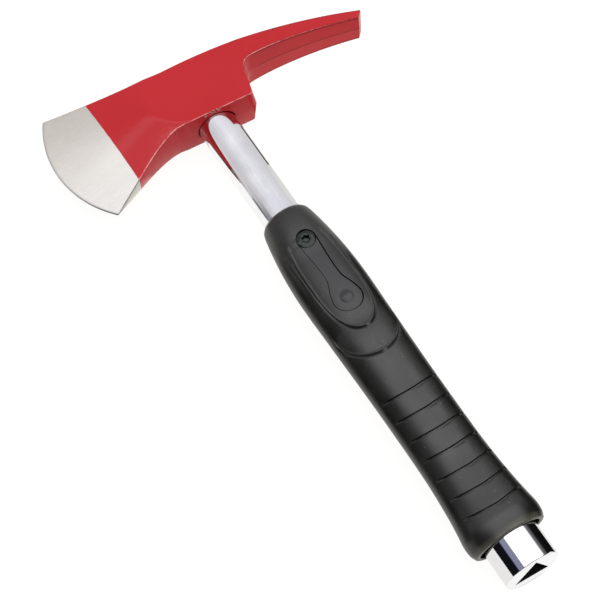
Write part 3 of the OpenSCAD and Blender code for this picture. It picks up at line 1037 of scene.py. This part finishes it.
def tongue_mesh():
    """Points and faces of the tongue: loops above, and loops below from the same outline."""
    outline = tongue_outline(0.0, TONGUE_SHIFT)
    spine = np.stack([np.zeros(len(outline)), np.clip(outline[:, 1], THUMB_Y, SCREW_Y)], axis=1)
    reach = np.linalg.norm(spine - outline, axis=1)[:, None]
    upper = tongue_upper(outline, spine, reach)
    lower = [mix(outline, spine, share) for share in np.linspace(0, 1, 8)[1:]]
    count = len(outline)
    faces = ring_faces(len(upper), count)
    base = len(upper) * count
    for j in range(count):
        k = (j + 1) % count
        faces.append((k, j, base + j, base + k))
        for i in range(len(lower) - 1):
            a = base + i * count
            faces.append((a + k, a + j, a + count + j, a + count + k))
    below = [np.column_stack([xy, tongue_under(xy)]) for xy in lower]
    return np.concatenate(upper + below), faces


def close_spine(tongue):
    """Merges the loops' points where they meet on the spine."""
    work = bmesh.new()
    work.from_mesh(tongue.data)
    bmesh.ops.remove_doubles(work, verts=work.verts, dist=2e-6)
    bmesh.ops.dissolve_degenerate(work, edges=work.edges, dist=1e-6)
    work.to_mesh(tongue.data)
    work.free()


def thumb_button():
    """A low dome on a short cylinder, to be joined onto the tongue."""
    top = float(tongue_top(np.array([[0.0, THUMB_Y]]))[0])
    dome_r = (BUTTON_R**2 + BUTTON_RISE**2) / (2 * BUTTON_RISE)
    dome = [(BUTTON_R - 0.1, -3), (BUTTON_R, -2.9), (BUTTON_R, 0.0)]
    for r in np.linspace(BUTTON_R, 0.02, 12)[1:]:
        dome.append((r, BUTTON_RISE - dome_r + math.sqrt(dome_r**2 - r * r)))
    return cutter_of(*upright(dome, THUMB_Y, top))


def build_tongue():
    points, faces = tongue_mesh()
    tongue = new_piece("latch_tongue_moulded", points, faces, [tongue_plastic], body="latch")
    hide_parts("latch_tongue")
    close_spine(tongue)
    tidy_normals(tongue, 40)
    # a seat for the screw's head, and a hole for its bush below it
    step = SCREW_SEAT - 0.4
    cut(tongue, cutter_of(*upright([(6.12, step), (6.12, 30)], SCREW_Y)))
    cut(tongue, cutter_of(*upright([(4.55, step - 8), (4.55, 30)], SCREW_Y)))
    cut(tongue, thumb_button(), "UNION")
    tidy_normals(tongue, 32)


def screw_dome(r, start):
    """Height of the screw's spherical head at radius r, over its height at radius start."""
    sphere = 12.0
    return math.sqrt(sphere**2 - r * r) - math.sqrt(sphere**2 - start**2)


def build_screw():
    """Button head with a hexagon socket, over a plain shank."""
    head, rim, chamfer, deep = SCREW_H, 3.15, 0.6, 4.2
    edge = head + screw_dome(SCREW_R, rim)
    profile = [(0.01, -8), (2.95, -8), (2.95, 0)]
    profile += [(SCREW_R - 0.15, 0), (SCREW_R, 0.15), (SCREW_R, edge - 0.1)]
    for r in np.linspace(SCREW_R - 0.08, rim + 0.15, 12):
        profile.append((r, head + screw_dome(r, rim + 0.15)))
    profile += [(rim, head - 0.03), (rim - 0.75, head - chamfer), (0.01, head - chamfer)]
    points, faces = upright(profile, SCREW_Y, SCREW_SEAT, 120)
    screw = new_piece("button_screw", points, faces, [black_steel])
    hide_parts("tongue_screw")
    tidy_normals(screw)
    across = 2.65
    floor = SCREW_SEAT + head - deep
    corners = np.radians(np.arange(20, 380, 60))
    outline = [(across * math.cos(a), SCREW_Y + across * math.sin(a)) for a in corners]
    cut(screw, prism(outline, floor, SCREW_SEAT + head + 3))
    # the drill's cone below the socket's floor
    cut(screw, cutter_of(*upright([(0.02, -1.2), (2.0, 0.05), (2.0, 0.3)], SCREW_Y, floor)))
    tidy_normals(screw, 40)


# ---- stage ------------------------------------------------------------------


def sheet(name, corners, colour, light, tint=(1, 1, 1)):
    """A flat matt stage sheet with its corners in metres and some light of its own."""
    mesh = bpy.data.meshes.new(name)
    mesh.from_pydata([tuple(corner) for corner in corners], [], [tuple(range(len(corners)))])
    item = bpy.data.objects.new(name, mesh)
    bpy.context.scene.collection.objects.link(item)
    n = Nodes(name)
    shade = tuple(colour * t for t in tint)
    n.set(Base_Color=(*shade, 1), Roughness=0.9, Specular_IOR_Level=0.0)
    n.set(Emission_Color=(*tint, 1), Emission_Strength=light)
    mesh.materials.append(n.material)
    return item


def whole_table(height):
    size = 6.0
    return [(-size, -size, height), (size, -size, height), (size, size, height), (-size, size, height)]


def seen_by(item, camera=False, diffuse=False, glossy=False):
    """Which rays see a sheet. None of the sheets casts a shadow."""
    item.visible_camera = camera
    item.visible_diffuse = diffuse
    item.visible_glossy = glossy
    item.visible_shadow = False


def build_floor():
    """White paper for the camera, one sheet that lights the undersides, one for reflections."""
    paper = sheet("floor_paper", whole_table(-0.0002), 0.1, 0.93, (1, 0.995, 0.985))
    seen_by(paper, camera=True)
    table = sheet("floor_table", whole_table(-0.0004), 0.75, 0.42, (1, 0.98, 0.93))
    seen_by(table, diffuse=True)
    shine = sheet("floor_shine", whole_table(-0.0006), 0.3, 0.58, (1, 0.995, 0.985))
    seen_by(shine, glossy=True)


# Patches of the table that only reflections see, as (corners, tint, light).
# Two dark flags beside the handle and a dim streak along the left one are painted
# shadow; the table is dark red under the blade as its painted shadow, and bright
# as painted light beside the blade's lower corner and past the key's end.
FLAGS = {
    "flag_right": ([(54, -345), (6000, -345), (6000, 2410), (54, -87)], (1, 1, 1), 0.005),
    "flag_left": ([(-60, -285), (-6000, 1430), (-6000, 2610), (-60, -62)], (1, 1, 1), 0.005),
    "flag_streak": ([(-130, -13), (-6000, 2628), (-6000, 2765), (-172, 26)], (1, 0.97, 1.12), 0.15),
    "shadow_blade": (
        [(-39, 17), (-46, 11), (-55, 5), (-60, 2), (-94, 4), (-160, 40), (-160, 110), (-39, 60)],
        (0.14, 0.03, 0.03), 1.0,
    ),
    "glow_blade": (
        [(-105, -45), (-44, -45), (-44, 8), (-47, 8), (-55, 3.5), (-60, 0.5), (-105, 3)],
        (1, 0.98, 0.9), 1.55,
    ),
    "glow_end": ([(-60, -430), (60, -430), (60, -332), (-60, -332)], (1, 1, 1), 1.0),
}
# Upright cards that only reflections see, with the same values: one along the
# pick's handle side and one left of the tube as painted light, and a dark one right
# of the tube as painted shadow.
CARDS = {
    "card_pick": ([(27, 7, -14), (112, 7, -14), (112, 7, 14), (27, 7, 14)], (0.84, 0.82, 0.82), 1.0),
    "card_right": (
        [(27, 6.8, -11.6), (27, 5.5, -1.2), (27, -27, -1.2), (27, -25, -11.6)],
        (0.05, 0.03, 0.024), 1.0,
    ),
    "card_left": (
        [(-16, -66, -20), (-16, 1, -20), (-16, 1, -0.3), (-16, -7, 0.8), (-16, -18, 2.0),
         (-16, -33, 3.0), (-16, -40, 4.3), (-16, -66, 5.2)],
        (1, 1, 0.98), 1.22,
    ),
}


def on_table(corners, height):
    return [(AXIS_X + x * MM, ORIGIN[1] + y * MM, height) for x, y in corners]


def build_flags():
    for name, (corners, tint, light) in FLAGS.items():
        seen_by(sheet(name, on_table(corners, 0.0), 0.0, light, tint), glossy=True)
    for name, (corners, tint, light) in CARDS.items():
        seen_by(sheet(name, place(corners), 0.0, light, tint), glossy=True)


def build_warm_patch():
    """A warmer patch of the table that lights the underside on the pick's side."""
    corners = on_table([(24, -70), (150, -70), (150, 30), (24, 30)], -0.0001)
    seen_by(sheet("warm_right", corners, 0.6, 0.95, (1, 0.92, 0.84)), diffuse=True)


# The studio, as bands of (direction round the handle in degrees, red, green,
# blue), where 90 is straight up. From the key's end to the head, the handle
# reflects NEAR, MIDDLE, STREAK and FAR in turn. REAR lies behind the camera.
NEAR_STUDIO = [
    (-180, 0.006, 0.006, 0.007), (-60, 1.0, 1.0, 1.0), (-48, 0.75, 0.75, 0.74), (-37, 0.05, 0.05, 0.05),
    (-30, 0.006, 0.006, 0.006), (12, 0.008, 0.008, 0.008), (17, 0.09, 0.09, 0.095), (27, 0.16, 0.16, 0.17),
    (33, 0.8, 0.8, 0.82), (37, 2.3, 2.3, 2.3), (116, 2.3, 2.3, 2.3), (122, 0.24, 0.24, 0.34),
    (141, 0.24, 0.25, 0.37), (146, 0.006, 0.006, 0.01), (180, 0.006, 0.006, 0.007),
]
MIDDLE_STUDIO = [
    (-180, 0.006, 0.006, 0.007), (-110, 0.03, 0.03, 0.03), (-60, 0.45, 0.45, 0.45), (-30, 0.2, 0.2, 0.2),
    (12, 0.22, 0.22, 0.22), (28, 1.1, 1.1, 1.1), (45, 4.0, 4.0, 4.1), (70, 4.1, 4.1, 4.2),
    (88, 5.0, 5.0, 5.1), (122, 5.0, 5.0, 5.1), (134, 2.2, 2.2, 2.25), (142, 0.35, 0.35, 0.36),
    (150, 0.006, 0.006, 0.006), (180, 0.006, 0.006, 0.007),
]
FAR_STUDIO = [
    (-180, 0.86, 0.84, 0.84), (-60, 1.14, 1.13, 1.12), (-45, 0.98, 0.96, 0.96), (-25, 0.84, 0.82, 0.82),
    (5, 0.84, 0.83, 0.85), (35, 0.88, 0.87, 0.91), (60, 0.93, 0.92, 0.97), (88, 0.98, 0.98, 1.03),
    (105, 0.94, 0.93, 0.98), (120, 0.88, 0.87, 0.91), (135, 0.82, 0.81, 0.84), (155, 0.79, 0.77, 0.8),
    (180, 0.86, 0.84, 0.84),
]
STREAK_STUDIO = [band for band in FAR_STUDIO if -180 < band[0] < 150] + [
    (148, 0.78, 0.76, 0.79), (160, 0.17, 0.165, 0.2), (180, 0.17, 0.165, 0.2),
]
REAR_STUDIO = [(-180, 0.1, 0.1, 0.1), (90, 0.12, 0.12, 0.12)]


def world_node(tree, kind, **settings):
    node = tree.nodes.new(kind)
    for key, value in settings.items():
        setattr(node, key, value)
    return node


def studio_ramp(tree, share, bands):
    """A colour ramp over the directions round the handle, dimmed to fit its 0 to 1."""
    ramp = world_node(tree, "ShaderNodeValToRGB")
    elements = ramp.color_ramp.elements
    while len(elements) < len(bands):
        elements.new(0.5)
    for element, (degrees, *colour) in zip(elements, bands):
        element.position = (degrees + 180) / 360
        element.color = (*colour, 1)
    tree.links.new(share, ramp.inputs["Fac"])
    return ramp.outputs["Color"]


def blend_by_height(tree, along, low, high, below, above):
    """One colour below a direction's share along the handle, another above it."""
    edge = world_node(tree, "ShaderNodeMapRange", interpolation_type="SMOOTHSTEP")
    edge.inputs["From Min"].default_value = low
    edge.inputs["From Max"].default_value = high
    tree.links.new(along, edge.inputs["Value"])
    mixed = world_node(tree, "ShaderNodeMix", data_type="RGBA")
    tree.links.new(edge.outputs["Result"], mixed.inputs[0])
    tree.links.new(below, mixed.inputs[6])
    tree.links.new(above, mixed.inputs[7])
    return mixed.outputs[2]


def build_world():
    """A studio seen round the handle: an overhead softbox between dark flags."""
    world = bpy.data.worlds.new("studio")
    bpy.context.scene.world = world
    world.use_nodes = True
    tree = world.node_tree
    tree.nodes.clear()
    coordinates = world_node(tree, "ShaderNodeTexCoord")
    split = world_node(tree, "ShaderNodeSeparateXYZ")
    tree.links.new(coordinates.outputs["Generated"], split.inputs[0])
    angle = world_node(tree, "ShaderNodeMath", operation="ARCTAN2")
    tree.links.new(split.outputs["Z"], angle.inputs[0])
    tree.links.new(split.outputs["X"], angle.inputs[1])
    share = world_node(tree, "ShaderNodeMapRange")
    share.inputs["From Min"].default_value = -math.pi
    share.inputs["From Max"].default_value = math.pi
    tree.links.new(angle.outputs[0], share.inputs["Value"])
    bands = (REAR_STUDIO, NEAR_STUDIO, MIDDLE_STUDIO, STREAK_STUDIO, FAR_STUDIO)
    rear, near, middle, streak, far = (studio_ramp(tree, share.outputs["Result"], band) for band in bands)
    front = blend_by_height(tree, split.outputs["Y"], 0.27, 0.29, near, middle)
    front = blend_by_height(tree, split.outputs["Y"], 0.375, 0.4, front, streak)
    front = blend_by_height(tree, split.outputs["Y"], 0.411, 0.423, front, far)
    colour = blend_by_height(tree, split.outputs["Y"], -0.78, -0.66, rear, front)
    studio = world_node(tree, "ShaderNodeBackground")
    tree.links.new(colour, studio.inputs["Color"])
    plain = world_node(tree, "ShaderNodeBackground")
    plain.inputs["Color"].default_value = (1, 1, 1, 1)
    path = world_node(tree, "ShaderNodeLightPath")
    choose = world_node(tree, "ShaderNodeMixShader")
    tree.links.new(path.outputs["Is Camera Ray"], choose.inputs["Fac"])
    tree.links.new(studio.outputs[0], choose.inputs[1])
    tree.links.new(plain.outputs[0], choose.inputs[2])
    output = world_node(tree, "ShaderNodeOutputWorld")
    tree.links.new(choose.outputs[0], output.inputs["Surface"])


def build_camera():
    """The photograph's viewpoint: from the key end, from the blade's side, high up."""
    azimuth, elevation = math.radians(-26.82), math.radians(64.67)
    roll = math.radians(-5.75)
    distance = 1.457
    aim = ORIGIN + np.array([-20.1, -119.0, 0.0]) * MM
    back = np.array([
        math.sin(azimuth) * math.cos(elevation),
        -math.cos(azimuth) * math.cos(elevation),
        math.sin(elevation),
    ])
    camera = bpy.data.objects.new("camera", bpy.data.cameras.new("camera"))
    camera.data.lens = 150
    camera.data.sensor_width = 36
    turn = Vector(back).to_track_quat("Z", "Y").to_matrix().to_4x4()
    spin = Matrix.Rotation(roll, 4, "Z")
    camera.matrix_world = Matrix.Translation(aim + back * distance) @ turn @ spin
    bpy.context.scene.collection.objects.link(camera)
    bpy.context.scene.camera = camera


scene = bpy.context.scene
scene.view_settings.view_transform = "Standard"
build_camera()
build_floor()
build_flags()
build_warm_patch()
build_world()
build_head()
build_tube()
build_key()
build_fittings()
build_grip()
build_tongue()
build_screw()
